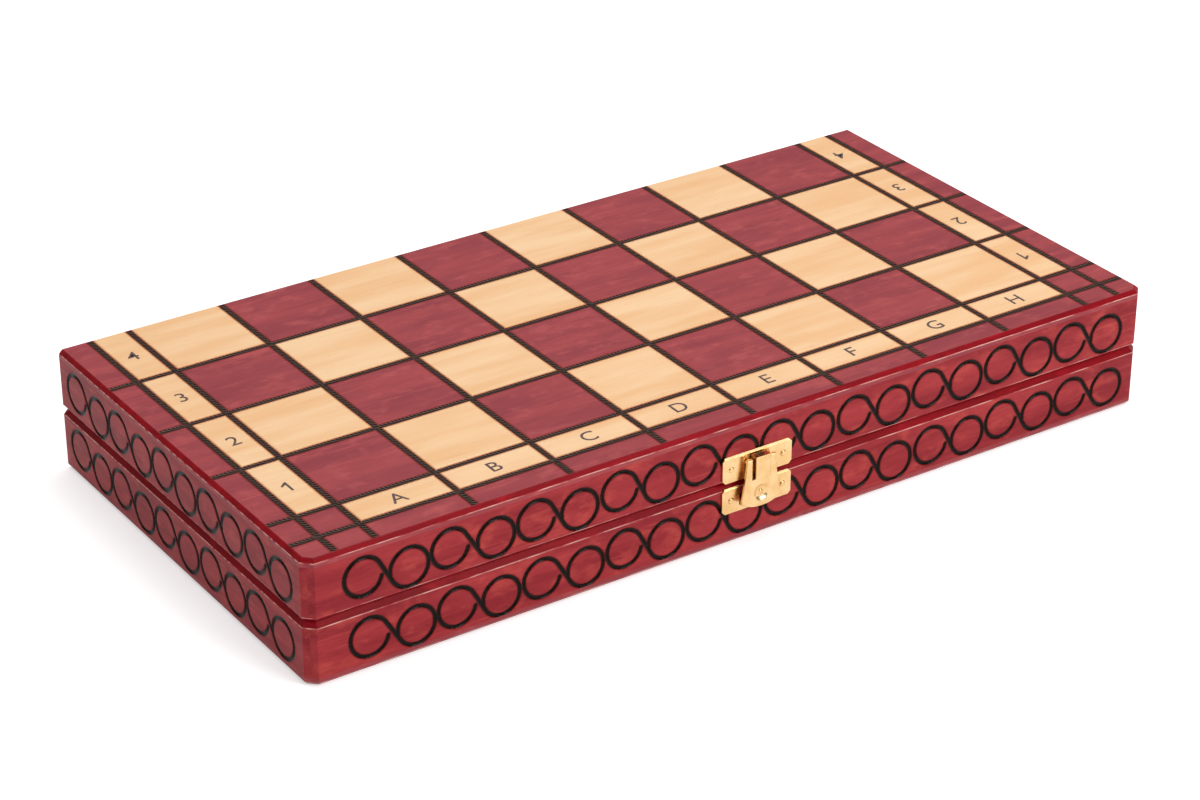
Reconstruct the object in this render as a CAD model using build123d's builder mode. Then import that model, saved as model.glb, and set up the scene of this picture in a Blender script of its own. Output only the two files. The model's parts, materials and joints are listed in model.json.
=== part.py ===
"""Folding wooden chess case with its chessmen, hinges and brass draw latch.

The closed case lies on its lower board: X runs along the long side, the latch is at -Y,
the hinges at +Y and the seam between the halves lies level. The origin is the centre of
the face that the case rests on.
"""
import os
from math import sqrt

from build123d import *

os.makedirs("parts", exist_ok=True)

# Board, one half of it on the outside of each half of the case
square = 37.0
files = 8
ranks_per_half = 4
label_strip = 15.0
outer_strip = 12.0

# Case shell
half_height = 23.5
rail_thickness = 10.0
panel_thickness = 3.0
panel_chamfer = 1.9
seam_chamfer = 1.75
seam_gap = 0.2
corner_chamfer = 3.5

# Flocked inserts and their pockets
insert_gap = 0.3
insert_floor = 1.0
pocket_depth = 11.5
pocket_gap = 0.5
pocket_wall = 2.5
lying_gap = 0.05

# Turned foot that all chessmen share
foot_height = 2.6
cove_height = 2.2
ring_height = 1.2
collar_height = 1.3
cove_inset = 0.5
cove_sag = 0.4
stem_inset = 0.8
waist_fullness = 0.22
waist_share = 0.45

# Chessmen: heights and widths
king_height = 64.0
king_base = 26.0
king_ring = 17.5
queen_height = 58.0
queen_base = 25.0
queen_ring = 17.0
bishop_height = 50.0
bishop_base = 23.0
bishop_ring = 15.5
knight_height = 46.0
knight_base = 23.0
knight_ring = 18.5
knight_thickness = 9.0
neck_sink = 0.6
rook_height = 40.0
rook_base = 23.0
rook_ring = 16.0
rook_notch = 3.0
pawn_height = 33.5
pawn_base = 20.0
pawn_ring = 13.5
pawn_ball = 10.6

# Butt hinges
hinge_spacing = 230.0
hinge_width = 30.0
leaf_length = 8.6
leaf_thickness = 1.0
barrel_radius = 2.1
hinge_pin_radius = 1.0
hinge_axis_gap = 0.25
knuckle_gap = 0.2
pin_running_gap = 0.05
barrel_clearance = 0.35

# Countersunk hinge screws
screw_spacing = 18.0
screw_radius = 0.8
screw_head_radius = 1.5
screw_length = 9.0

# Latch plates and their nails
plate_width = 29.0
plate_height = 9.8
plate_thickness = 0.8
plate_bevel = 0.6
plate_seam_offset = 1.1
plate_corner = 1.2
nail_spacing = 21.8
nail_radius = 0.6
nail_head_radius = 1.2
nail_head_height = 0.5
nail_length = 7.0

# Draw latch: depths are measured outwards from the front face, rises from the seam
sheet = 0.6
lever_depth = 2.9
lever_top_rise = 8.9
lever_top_width = 14.0
lever_foot_width = 16.8
lever_foot_rise = -7.4
lever_tip_rise = -9.6
lever_flare = 0.7
lip_lead = 0.9
notch_width = 7.4
notch_rise = 1.0
lever_pivot_depth = 2.0
lever_pivot_rise = 7.8
link_pivot_depth = 1.9
link_pivot_rise = 0.1
rivet_radius = 0.45
rivet_head_radius = 0.8
rivet_head_height = 0.35
eye_radius = 0.85
latch_side_gap = 0.3
link_width = 6.4
link_front_depth = 4.6
link_top_rise = 9.9
link_foot_rise = 1.2
lip_drop = 1.2
hook_width = 3.8
hook_depth = 3.3
hook_tip_gap = 0.3
hook_shelf_drop = 3.0
arm_slot = 2.1
strip_height = 2.2
dimple_radius = 2.3
dimple_boss_radius = 1.2
dimple_depth = 0.3
dimple_rise = -5.1

# Sizes that follow
case_length = files * square + 2 * (label_strip + outer_strip)
case_depth = ranks_per_half * square + label_strip + outer_strip
inner_length = case_length - 2 * rail_thickness
inner_depth = case_depth - 2 * rail_thickness
rail_height = half_height - seam_gap / 2 - panel_thickness
front_y = -case_depth / 2
seam = half_height
seam_plane = Plane.XY.offset(seam)
flip_axis = Axis((0, 0, seam), (1, 0, 0))
ring_top = foot_height + cove_height + ring_height


def write(piece, name):
    """Label one finished piece and save it under its own name."""
    piece.part.label = name
    export_step(piece.part, f"parts/{name}.step")


def show_edges(level):
    """The edges at one level of a half that run along its front, its sides and its cut corners."""
    side_x = inner_length / 2 + rail_thickness / 2
    front = -(inner_depth / 2 + rail_thickness / 2)
    return [e for e in level if abs(e.center().X) > side_x or e.center().Y < front]


def case_outline():
    """Plan of a half: square at the hinged side, with the two front corners cut off."""
    x, y, c = case_length / 2, case_depth / 2, corner_chamfer
    with BuildSketch() as outline:
        with BuildLine():
            Polyline((-x, y), (-x, -y + c), (-x + c, -y), (x - c, -y), (x, -y + c), (x, y), close=True)
        make_face()
    return outline.sketch


# Board panels: ply sheets that close the halves, chamfered where their edges show
with BuildPart() as lower_panel:
    with BuildSketch():
        add(case_outline())
    extrude(amount=panel_thickness)
    chamfer(show_edges(lower_panel.edges().group_by(Axis.Z)[0]), length=panel_chamfer)
write(lower_panel, "lower_board_panel")

with BuildPart() as upper_panel:
    mirror(lower_panel.part, about=seam_plane)
write(upper_panel, "upper_board_panel")

# Frame moulding of a half before it is cut at the mitres
with BuildPart() as frame_ring:
    with BuildSketch(Plane.XY.offset(panel_thickness)):
        add(case_outline())
        Rectangle(inner_length, inner_depth, mode=Mode.SUBTRACT)
    extrude(amount=rail_height)
    chamfer(show_edges(frame_ring.edges().group_by(Axis.Z)[-1]), length=seam_chamfer)

# Places of the hinges and of the fixings, shared by the wood and by the metal
hinge_centres = {"left": -hinge_spacing / 2, "right": hinge_spacing / 2}
hinge_axis_y = case_depth / 2 + hinge_axis_gap
barrel_bed = barrel_radius + barrel_clearance
leaf_edge_y = hinge_axis_y - leaf_length
leaf_bed = case_depth / 2 - leaf_edge_y
leaf_top = seam - seam_gap / 2
screw_y = (leaf_edge_y + hinge_axis_y - barrel_bed) / 2
screw_places = [(x + side * screw_spacing / 2, screw_y)
                for x in hinge_centres.values() for side in (-1, 1)]
nail_drop = plate_seam_offset + plate_height / 2
nail_places = [(side * nail_spacing / 2, seam - nail_drop) for side in (-1, 1)]
front_plane = Plane(origin=(0, front_y, 0), x_dir=(1, 0, 0), z_dir=(0, -1, 0))

# Rails: four mitred lengths to each half, glued at the corners and to the panel
ox, oy = case_length / 2, case_depth / 2
ix, iy = inner_length / 2, inner_depth / 2
mitre_cuts = {
    "front": [(-ox, -oy), (ox, -oy), (ix, -iy), (-ix, -iy)],
    "rear": [(-ox, oy), (ox, oy), (ix, iy), (-ix, iy)],
    "left": [(-ox, -oy), (-ox, oy), (-ix, iy), (-ix, -iy)],
    "right": [(ox, -oy), (ox, oy), (ix, iy), (ix, -iy)],
}
for side, corners in mitre_cuts.items():
    with BuildPart() as lower_rail:
        add(frame_ring.part)
        with BuildSketch():
            with BuildLine():
                Polyline(*corners, close=True)
            make_face()
        extrude(amount=half_height, mode=Mode.INTERSECT)
        if side == "rear":
            # Shallow beds for the hinge leaves, deeper ones for the barrels, and screw holes
            for x in hinge_centres.values():
                with Locations((x, leaf_edge_y + leaf_bed / 2, leaf_top - leaf_thickness / 2)):
                    Box(hinge_width, leaf_bed, leaf_thickness, mode=Mode.SUBTRACT)
                with Locations((x, hinge_axis_y, seam)):
                    Box(hinge_width, 2 * barrel_bed, 2 * barrel_bed, mode=Mode.SUBTRACT)
            with BuildSketch(Plane.XY.offset(leaf_top - screw_length)):
                with Locations(*screw_places):
                    Circle(screw_radius)
            extrude(amount=screw_length, mode=Mode.SUBTRACT)
        if side == "front":
            with BuildSketch(front_plane):
                with Locations(*nail_places):
                    Circle(nail_radius)
            extrude(amount=-nail_length, mode=Mode.SUBTRACT)
    write(lower_rail, f"lower_{side}_rail")
    with BuildPart() as upper_rail:
        mirror(lower_rail.part, about=seam_plane)
    write(upper_rail, f"upper_{side}_rail")


def foot_line(base, ring):
    """Half profile of a foot: a flat rim, a cove and the ring that stands on it."""
    rim, edge, cove_top = base / 2, ring / 2, foot_height + cove_height
    hollow = ((rim + edge) / 2 - cove_inset, (foot_height + cove_top) / 2 - cove_sag)
    with BuildLine() as line:
        Polyline((0, 0), (rim, 0), (rim, foot_height))
        ThreePointArc((rim, foot_height), hollow, (edge, cove_top))
        Line((edge, cove_top), (edge, ring_top))
    return line.line


def turned(base, ring, neck, collar, collar_rise, head, top):
    """A turned piece: foot, waisted stem, collar and a head line that ends on the axis."""
    stem_foot = ring / 2 - stem_inset
    waist = (neck / 2 + (stem_foot - neck / 2) * waist_fullness,
             ring_top + (collar_rise - ring_top) * waist_share)
    collar_top = collar_rise + collar_height
    with BuildPart() as piece:
        with BuildSketch(Plane.XZ):
            with BuildLine():
                add(foot_line(base, ring))
                Line((ring / 2, ring_top), (stem_foot, ring_top))
                ThreePointArc((stem_foot, ring_top), waist, (neck / 2, collar_rise))
                Polyline((neck / 2, collar_rise), (collar / 2, collar_rise), (collar / 2, collar_top),
                         head @ 0)
                add(head)
                Line((0, top), (0, 0))
            make_face()
        revolve(axis=Axis.Z)
    return piece.part


def bead(diameter, neck, top):
    """Arc of a ball centred on the axis, from the neck that it grows out of to its top."""
    centre = top - diameter / 2
    bead_foot = centre - sqrt((diameter / 2) ** 2 - (neck / 2) ** 2)
    with BuildLine() as line:
        ThreePointArc((neck / 2, bead_foot), (diameter / 2, centre), (0, top))
    return line.line


# Pawn: a ball on the collar
pawn_head = bead(pawn_ball, 5.4, pawn_height)
pawn_collar_rise = (pawn_head @ 0).Y - collar_height
pawn = turned(pawn_base, pawn_ring, 6.2, 11.5, pawn_collar_rise, pawn_head, pawn_height)

# Rook: a hollow turret with four notches in its rim
rook_collar_rise = rook_height - 14.5
rook_floor = rook_height - rook_notch
rook_rim = 15.6
rook_well = 10.2
rook_slot = 2.6
with BuildLine() as rook_head:
    Polyline((5.2, rook_collar_rise + collar_height), (rook_rim / 2 - 0.6, rook_height - 8.5),
             (rook_rim / 2, rook_height), (rook_well / 2, rook_height),
             (rook_well / 2, rook_floor), (0, rook_floor))
rook_blank = turned(rook_base, rook_ring, 9.0, 14.5, rook_collar_rise, rook_head.line, rook_floor)
with BuildPart() as rook:
    add(rook_blank)
    with Locations((0, 0, rook_height - rook_notch / 2)):
        Box(rook_base, rook_slot, rook_notch, mode=Mode.SUBTRACT)
        Box(rook_slot, rook_base, rook_notch, mode=Mode.SUBTRACT)

# Bishop: a pointed mitre with a slanting cut and a bead on top
bishop_collar_rise = bishop_height - 19.0
mitre_cut_tilt = -38
mitre_cut_width = 1.3
bishop_bead = bead(3.6, 2.4, bishop_height)
with BuildLine() as bishop_head:
    ThreePointArc((3.4, bishop_collar_rise + collar_height), (6.1, bishop_height - 11.0),
                  bishop_bead @ 0)
    add(bishop_bead)
bishop_blank = turned(bishop_base, bishop_ring, 6.6, 12.6, bishop_collar_rise, bishop_head.line,
                      bishop_height)
with BuildPart() as bishop:
    add(bishop_blank)
    with Locations(Location((4.4, 0, bishop_height - 9.0), (0, mitre_cut_tilt, 0))):
        Box(8.0, bishop_ring, mitre_cut_width, mode=Mode.SUBTRACT)

# Queen: a flared crown with eight scallops and a bead
queen_collar_rise = queen_height - 20.0
crown_rise = queen_height - 7.5
crown_radius = 7.4
scallops = 8
scallop_radius = 1.5
queen_bead = bead(4.0, 2.6, queen_height)
with BuildLine() as queen_head:
    ThreePointArc((4.0, queen_collar_rise + collar_height), (4.9, queen_height - 13.0),
                  (crown_radius, crown_rise))
    Line((crown_radius, crown_rise), (6.0, crown_rise + 1.2))
    ThreePointArc((6.0, crown_rise + 1.2), (4.2, crown_rise + 3.0), queen_bead @ 0)
    add(queen_bead)
queen_blank = turned(queen_base, queen_ring, 7.4, 14.4, queen_collar_rise, queen_head.line,
                     queen_height)
with BuildPart() as queen:
    add(queen_blank)
    with PolarLocations(crown_radius + 0.8, scallops):
        with Locations((0, 0, crown_rise)):
            Cylinder(scallop_radius, 4.0, mode=Mode.SUBTRACT)

# King: a taller crown with a domed top and a cross
king_collar_rise = king_height - 22.0
dome_rise = king_height - 6.8
cross_arm = 3.0
cross_waist = 0.9
cross_flare = 1.4
cross_foot = 1.8
cross_thickness = 2.2
king_crown = (7.3, king_height - 9.8)
crown_edge = (6.4, king_height - 8.8)
with BuildLine() as king_head:
    ThreePointArc((4.3, king_collar_rise + collar_height), (5.0, king_height - 15.5), king_crown)
    Line(king_crown, crown_edge)
    ThreePointArc(crown_edge, (4.0, king_height - 7.3), (0, dome_rise))
king_blank = turned(king_base, king_ring, 8.0, 15.4, king_collar_rise, king_head.line, dome_rise)
with BuildPart() as king:
    add(king_blank)
    with BuildSketch(Plane.XZ.offset(-cross_thickness / 2)):
        with BuildLine():
            middle = king_height - cross_arm
            right_side = [(cross_foot, dome_rise - 1.0), (cross_waist, middle - cross_waist),
                          (cross_arm, middle - cross_flare), (cross_arm, middle + cross_flare),
                          (cross_waist, middle + cross_waist), (cross_flare, king_height)]
            left_side = [(-x, z) for x, z in reversed(right_side)]
            Polyline(*right_side, *left_side, close=True)
        make_face()
    extrude(amount=cross_thickness)

# Knight: a horse's head sawn from a board, on a turned plinth
with BuildPart() as knight:
    with BuildSketch(Plane.XZ):
        with BuildLine():
            add(foot_line(knight_base, knight_ring))
            Polyline((knight_ring / 2, ring_top), (0, ring_top), (0, 0))
        make_face()
    revolve(axis=Axis.Z)
    with BuildSketch(Plane.XZ.offset(-knight_thickness / 2)):
        with BuildLine():
            top = knight_height
            mane_foot, mane, nape = (-7.4, ring_top - neck_sink), (-8.8, top / 2), (-3.4, top - 7.0)
            ear, brow, eye = (-1.6, top), (1.0, top - 4.8), (4.4, top - 8.0)
            nose, lip, chin = (10.0, top - 17.8), (9.6, top - 21.2), (7.2, top - 22.8)
            jaw, throat = (4.6, top - 22.2), (3.0, top - 19.8)
            breast, chest_foot = (4.2, top - 30.0), (8.0, ring_top - neck_sink)
            ThreePointArc(mane_foot, mane, nape)
            Polyline(nape, ear, brow, eye, nose, lip, chin)
            ThreePointArc(chin, jaw, throat)
            ThreePointArc(throat, breast, chest_foot)
            Line(chest_foot, mane_foot)
        make_face()
    extrude(amount=knight_thickness)

# Lay a set in the insert: the officers in one row, the pawns beside them in two
officers = [("rook_1", rook.part, rook_height, rook_base, rook_ring),
            ("knight_1", knight.part, knight_height, knight_base, knight_base),
            ("bishop_1", bishop.part, bishop_height, bishop_base, bishop_ring),
            ("queen", queen.part, queen_height, queen_base, queen_ring),
            ("king", king.part, king_height, king_base, king_ring),
            ("bishop_2", bishop.part, bishop_height, bishop_base, bishop_ring),
            ("knight_2", knight.part, knight_height, knight_base, knight_base),
            ("rook_2", rook.part, rook_height, rook_base, rook_ring)]
first_foot = -inner_depth / 2 + insert_gap + pocket_wall + pocket_gap
second_foot = first_foot + pawn_height + 2 * pocket_gap + pocket_wall
bed_level = panel_thickness + insert_floor + lying_gap
cursor = -inner_length / 2 + insert_gap + pocket_wall
laid = []
for name, solid, height, base, body in officers:
    centre = cursor + pocket_gap + base / 2
    laid.append((name, solid, height, base, body, centre, first_foot))
    cursor += base + 2 * pocket_gap + pocket_wall
for column in range(4):
    centre = cursor + pocket_gap + pawn_base / 2
    for row, foot in enumerate((first_foot, second_foot)):
        name = f"pawn_{2 * column + row + 1}"
        laid.append((name, pawn, pawn_height, pawn_base, pawn_ring, centre, foot))
    cursor += pawn_base + 2 * pocket_gap + pocket_wall

for name, solid, height, base, body, x, foot in laid:
    lying = Plane(origin=(x, foot, bed_level + base / 2), x_dir=(1, 0, 0), z_dir=(0, 1, 0))
    with BuildPart() as light_piece:
        with Locations(lying):
            add(solid)
    write(light_piece, f"light_{name}")
    with BuildPart() as dark_piece:
        add(light_piece.part.rotate(flip_axis, 180))
    write(dark_piece, f"dark_{name}")

# Inserts: one flocked moulding, used again upside down and turned round in the upper half
insert_thickness = insert_floor + pocket_depth
insert_top = panel_thickness + insert_thickness
with BuildPart() as lower_insert:
    with BuildSketch(Plane.XY.offset(panel_thickness)):
        Rectangle(inner_length - 2 * insert_gap, inner_depth - 2 * insert_gap)
    extrude(amount=insert_thickness)
    with BuildSketch(Plane.XY.offset(insert_top)):
        for name, solid, height, base, body, x, foot in laid:
            foot_pocket = ring_top + 2 * pocket_gap
            body_pocket = height + 2 * pocket_gap
            with Locations((x, foot - pocket_gap + foot_pocket / 2)):
                Rectangle(base + 2 * pocket_gap, foot_pocket)
            with Locations((x, foot - pocket_gap + body_pocket / 2)):
                Rectangle(body + 2 * pocket_gap, body_pocket)
    extrude(amount=-pocket_depth, mode=Mode.SUBTRACT)
write(lower_insert, "lower_insert")

with BuildPart() as upper_insert:
    add(lower_insert.part.rotate(flip_axis, 180))
write(upper_insert, "upper_insert")

# Butt hinges: the lower leaf carries the outer knuckles, the upper leaf the middle one
knuckle = (hinge_width - 2 * knuckle_gap) / 3
knuckle_step = knuckle + knuckle_gap
pin_bore = hinge_pin_radius + pin_running_gap
leaf_reach = leaf_length - barrel_bed
for name, centre in hinge_centres.items():
    barrel_plane = Plane(origin=(centre, hinge_axis_y, seam), x_dir=(0, 1, 0), z_dir=(1, 0, 0))
    for half, turns in (("lower", (-1, 1)), ("upper", (0,))):
        face = seam - seam_gap / 2 if half == "lower" else seam + seam_gap / 2
        inward = -1 if half == "lower" else 1
        bore = hinge_pin_radius if half == "lower" else pin_bore
        with BuildPart() as leaf:
            with Locations((centre, leaf_edge_y + leaf_reach / 2, face + inward * leaf_thickness / 2)):
                Box(hinge_width, leaf_reach, leaf_thickness)
            for turn in turns:
                shift = turn * knuckle_step
                with Locations((centre + shift, leaf_edge_y + leaf_length / 2,
                                face + inward * leaf_thickness / 2)):
                    Box(knuckle, leaf_length, leaf_thickness)
                with BuildSketch(barrel_plane.offset(shift - knuckle / 2)):
                    Circle(barrel_radius)
                extrude(amount=knuckle)
            with BuildSketch(barrel_plane.offset(-hinge_width / 2)):
                Circle(bore)
            extrude(amount=hinge_width, mode=Mode.SUBTRACT)
            for place in (-1, 1):
                spot = (centre + place * screw_spacing / 2, screw_y, face)
                with Locations(Plane(origin=spot, z_dir=(0, 0, -inward))):
                    CounterSinkHole(screw_radius, screw_head_radius, depth=2 * leaf_thickness)
        write(leaf, f"{name}_hinge_{half}_leaf")
    with BuildPart() as pin:
        with BuildSketch(barrel_plane.offset(-hinge_width / 2)):
            Circle(hinge_pin_radius)
        extrude(amount=hinge_width)
    write(pin, f"{name}_hinge_pin")

# Hinge screws: countersunk, flush with the leaves
with BuildPart() as lower_screws:
    head_height = screw_head_radius - screw_radius
    with BuildSketch(Plane.XY.offset(leaf_top - screw_length)):
        with Locations(*screw_places):
            Circle(screw_radius)
    extrude(amount=screw_length)
    with Locations(*[(x, y, leaf_top - head_height / 2) for x, y in screw_places]):
        Cone(screw_radius, screw_head_radius, head_height)
write(lower_screws, "lower_hinge_screws")

with BuildPart() as upper_screws:
    mirror(lower_screws.part, about=seam_plane)
write(upper_screws, "upper_hinge_screws")

# Latch plates: pressed brass, bevelled along the top, nailed on close to the seam
catch_middle = seam + nail_drop
base_middle = seam - nail_drop
side_plane = Plane(origin=(0, front_y, 0), x_dir=(0, -1, 0), z_dir=(-1, 0, 0))
link_inner_top = seam + link_top_rise - sheet
hook_tip = link_inner_top - hook_tip_gap


def latch_plate(middle):
    """One nailed plate with clipped corners and nail holes."""
    with BuildPart() as plate:
        with BuildSketch(front_plane):
            with Locations((0, middle)):
                Rectangle(plate_width, plate_height)
            chamfer(vertices(), length=plate_corner)
            with Locations((-nail_spacing / 2, middle), (nail_spacing / 2, middle)):
                Circle(nail_radius, mode=Mode.SUBTRACT)
        extrude(amount=plate_thickness)
        front_face = plate.faces().sort_by(Axis.Y)[0]
        chamfer(front_face.edges().sort_by(Axis.Z)[-1], length=plate_bevel)
    return plate.part


with BuildPart() as catch_plate:
    add(latch_plate(catch_middle))
    with BuildSketch(side_plane):
        with BuildLine():
            shelf = hook_tip - hook_shelf_drop
            Polyline((0, shelf), (hook_depth + sheet, shelf), (hook_depth + sheet, hook_tip),
                     (hook_depth, hook_tip), (hook_depth, shelf + sheet), (0, shelf + sheet), close=True)
        make_face()
    extrude(amount=hook_width / 2, both=True)
write(catch_plate, "latch_catch_plate")

# Base plate: two ears on a bottom strip, and two arms that carry the lever
cheek_outer = notch_width / 2 + sheet
arm_inner = cheek_outer + latch_side_gap
arm_outer = arm_inner + sheet
base_top = seam - plate_seam_offset
base_foot = base_top - plate_height
slot_foot = base_foot + strip_height
lever_pivot = (lever_pivot_depth, seam + lever_pivot_rise)
link_pivot = (link_pivot_depth, seam + link_pivot_rise)
with BuildPart() as base_plate:
    add(latch_plate(base_middle))
    with BuildSketch(front_plane):
        for side in (-1, 1):
            with Locations((side * (arm_outer + arm_slot / 2), (slot_foot + base_top) / 2)):
                Rectangle(arm_slot, base_top - slot_foot)
    extrude(amount=plate_thickness, mode=Mode.SUBTRACT)
    for side in (-1, 1):
        with BuildSketch(side_plane.offset(-side * arm_inner)):
            with Locations(((lever_pivot_depth + eye_radius) / 2, (slot_foot + base_top) / 2)):
                Rectangle(lever_pivot_depth + eye_radius, base_top - slot_foot)
            with Locations((lever_pivot_depth, (base_top + lever_pivot[1]) / 2)):
                Rectangle(2 * eye_radius, lever_pivot[1] - base_top)
            with Locations(lever_pivot):
                Circle(eye_radius)
                Circle(rivet_radius, mode=Mode.SUBTRACT)
        extrude(amount=-side * sheet)
write(base_plate, "latch_base_plate")


def nails(middle):
    """Two round-headed brass nails through a plate into the wood."""
    with BuildPart() as pair:
        with BuildSketch(front_plane.offset(plate_thickness)):
            with Locations((-nail_spacing / 2, middle), (nail_spacing / 2, middle)):
                Circle(nail_radius)
        extrude(amount=-(nail_length + plate_thickness))
        with BuildSketch(front_plane.offset(plate_thickness)):
            with Locations((-nail_spacing / 2, middle), (nail_spacing / 2, middle)):
                Circle(nail_head_radius)
        extrude(amount=nail_head_height, taper=40)
    return pair


write(nails(catch_middle), "latch_catch_nails")
write(nails(base_middle), "latch_base_nails")

# Lever: a notched front with a flared lip, and cheeks folded back along the notch
with BuildPart() as lever:
    with BuildSketch(front_plane.offset(lever_depth)):
        top, foot, tip = seam + lever_top_rise, seam + lever_foot_rise, seam + lever_tip_rise
        with BuildLine():
            Polyline((-lever_foot_width / 2, foot), (-lever_top_width / 2, seam),
                     (-lever_top_width / 2, top), (lever_top_width / 2, top),
                     (lever_top_width / 2, seam), (lever_foot_width / 2, foot))
            ThreePointArc((lever_foot_width / 2, foot), (0, tip), (-lever_foot_width / 2, foot))
        make_face()
        with Locations((0, seam + notch_rise + (lever_top_rise - notch_rise) / 2)):
            Rectangle(notch_width, lever_top_rise - notch_rise, mode=Mode.SUBTRACT)
    extrude(amount=sheet)
    with BuildSketch(side_plane):
        with BuildLine():
            lip_start = foot + lip_lead
            Polyline((lever_depth, lip_start), (lever_depth + lever_flare, tip),
                     (lever_depth + lever_flare + sheet, tip), (lever_depth + sheet, lip_start), close=True)
        make_face()
    extrude(amount=lever_top_width / 4, both=True)
    with BuildSketch(front_plane.offset(lever_depth + sheet - dimple_depth)):
        with Locations((0, seam + dimple_rise)):
            Circle(dimple_radius)
            Circle(dimple_boss_radius, mode=Mode.SUBTRACT)
    extrude(amount=dimple_depth, mode=Mode.SUBTRACT)
    for side in (-1, 1):
        with BuildSketch(side_plane.offset(-side * notch_width / 2)):
            with Locations(((link_pivot_depth - eye_radius + lever_depth + sheet) / 2,
                            (lever_pivot[1] + link_pivot[1]) / 2)):
                Rectangle(lever_depth + sheet - link_pivot_depth + eye_radius,
                          lever_pivot[1] - link_pivot[1])
            with Locations(lever_pivot, link_pivot):
                Circle(eye_radius)
            with Locations(lever_pivot):
                Circle(rivet_radius + pin_running_gap, mode=Mode.SUBTRACT)
            with Locations(link_pivot):
                Circle(rivet_radius, mode=Mode.SUBTRACT)
        extrude(amount=-side * sheet)
write(lever, "latch_lever")

# Link: a channel that hangs on its pin in the lever and hooks over the catch
lip_back = link_pivot_depth - 0.6
link_foot = seam + link_foot_rise
link_top = seam + link_top_rise
with BuildPart() as link:
    with BuildSketch(side_plane):
        with BuildLine():
            front = link_front_depth + sheet
            Polyline((link_front_depth, link_foot), (front, link_foot), (front, link_top),
                     (lip_back, link_top), (lip_back, link_inner_top - lip_drop),
                     (lip_back + sheet, link_inner_top - lip_drop), (lip_back + sheet, link_inner_top),
                     (link_front_depth, link_inner_top), close=True)
        make_face()
    extrude(amount=link_width / 2, both=True)
    for side in (-1, 1):
        with BuildSketch(side_plane.offset(-side * (link_width / 2 - sheet))):
            with BuildLine():
                d, z = link_pivot
                Polyline((lip_back, z), (lip_back, link_inner_top), (link_front_depth, link_inner_top),
                         (link_front_depth, link_foot), (d + 1.75, link_foot), (d + 1.25, z + 1.8),
                         (d + 0.35, z + 1.8), (d + 0.35, z), close=True)
            make_face()
            with Locations(link_pivot):
                Circle(eye_radius)
                Circle(rivet_radius + pin_running_gap, mode=Mode.SUBTRACT)
        extrude(amount=-side * sheet)
write(link, "latch_link")

with BuildPart() as link_pin:
    with BuildSketch(side_plane):
        with Locations(link_pivot):
            Circle(rivet_radius)
    extrude(amount=cheek_outer, both=True)
write(link_pin, "latch_link_pin")

# Rivets: short ones, from inside each cheek to a head outside each arm
with BuildPart() as rivets:
    for side in (-1, 1):
        with BuildSketch(side_plane.offset(-side * notch_width / 2)):
            with Locations(lever_pivot):
                Circle(rivet_radius)
        extrude(amount=-side * (arm_outer - notch_width / 2))
        with BuildSketch(side_plane.offset(-side * arm_outer)):
            with Locations(lever_pivot):
                Circle(rivet_head_radius)
        extrude(amount=-side * rivet_head_height)
write(rivets, "latch_lever_rivets")
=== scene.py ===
import json
import math

import bmesh
import bpy
import numpy as np
from mathutils import Matrix, Vector


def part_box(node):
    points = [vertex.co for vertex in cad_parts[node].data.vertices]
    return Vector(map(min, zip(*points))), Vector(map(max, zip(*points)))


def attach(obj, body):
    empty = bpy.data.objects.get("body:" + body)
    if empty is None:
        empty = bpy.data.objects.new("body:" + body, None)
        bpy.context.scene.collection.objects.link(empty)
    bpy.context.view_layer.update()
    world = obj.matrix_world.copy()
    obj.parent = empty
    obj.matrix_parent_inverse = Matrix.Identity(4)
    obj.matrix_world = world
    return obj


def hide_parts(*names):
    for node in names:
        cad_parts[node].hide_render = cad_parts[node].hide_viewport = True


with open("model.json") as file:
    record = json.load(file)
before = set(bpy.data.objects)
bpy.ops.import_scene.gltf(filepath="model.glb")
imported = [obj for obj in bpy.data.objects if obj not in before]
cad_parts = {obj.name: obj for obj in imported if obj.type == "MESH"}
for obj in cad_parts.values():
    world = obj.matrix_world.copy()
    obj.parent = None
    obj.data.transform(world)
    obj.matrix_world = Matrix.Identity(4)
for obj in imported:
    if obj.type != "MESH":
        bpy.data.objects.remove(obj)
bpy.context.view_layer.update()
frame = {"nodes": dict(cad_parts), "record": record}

# Board panels: two sheets of 3 mm birch ply that close the case and are its playing board.
# The dark squares and the border are stained burgundy, the rest is bare wood under varnish, and
# the lines between them are burnt in by a hot beaded roller that leaves a slanted rope pattern.
MM = 0.001
panel_low, panel_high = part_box("upper_board_panel")
case_length = (panel_high.x - panel_low.x) / MM
case_depth = (panel_high.y - panel_low.y) / MM
closed_height = panel_high.z / MM
panel_inner = panel_low.z / MM
board_half_x, board_half_y = case_length / 2, case_depth / 2
corner_cut = 3.5
panel_chamfer = 1.45
edge_round = 0.2
label_proud = 0.04
square = 37.0
files, ranks = 8, 4
label_strip = 15.0
grid_left = -files * square / 2
grid_front = board_half_y - ranks * square
upright_lines = [grid_left - label_strip, *(grid_left + square * i for i in range(files + 1)),
                 -grid_left + label_strip]
level_lines = [grid_front - label_strip, *(grid_front + square * j for j in range(ranks))]
burn_half_width = 1.2
burn_margin = 2.4
burn_depth = 0.5
bead_pitch = 1.44
bead_slant = 0.75
line_end_gap = 1.9
strip_knots = np.array([-2.4, -1.2, -0.8, -0.4, 0.0, 0.4, 0.8, 1.2, 2.4])
crossing_knots = np.linspace(-burn_margin, burn_margin, 13)


def linear(colour):
    """Turn an sRGB hex colour into the linear one that a socket takes."""
    parts = [int(colour[i:i + 2], 16) / 255 for i in (1, 3, 5)]
    return (*(c / 12.92 if c <= 0.04045 else ((c + 0.055) / 1.055) ** 2.4 for c in parts), 1.0)


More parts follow.
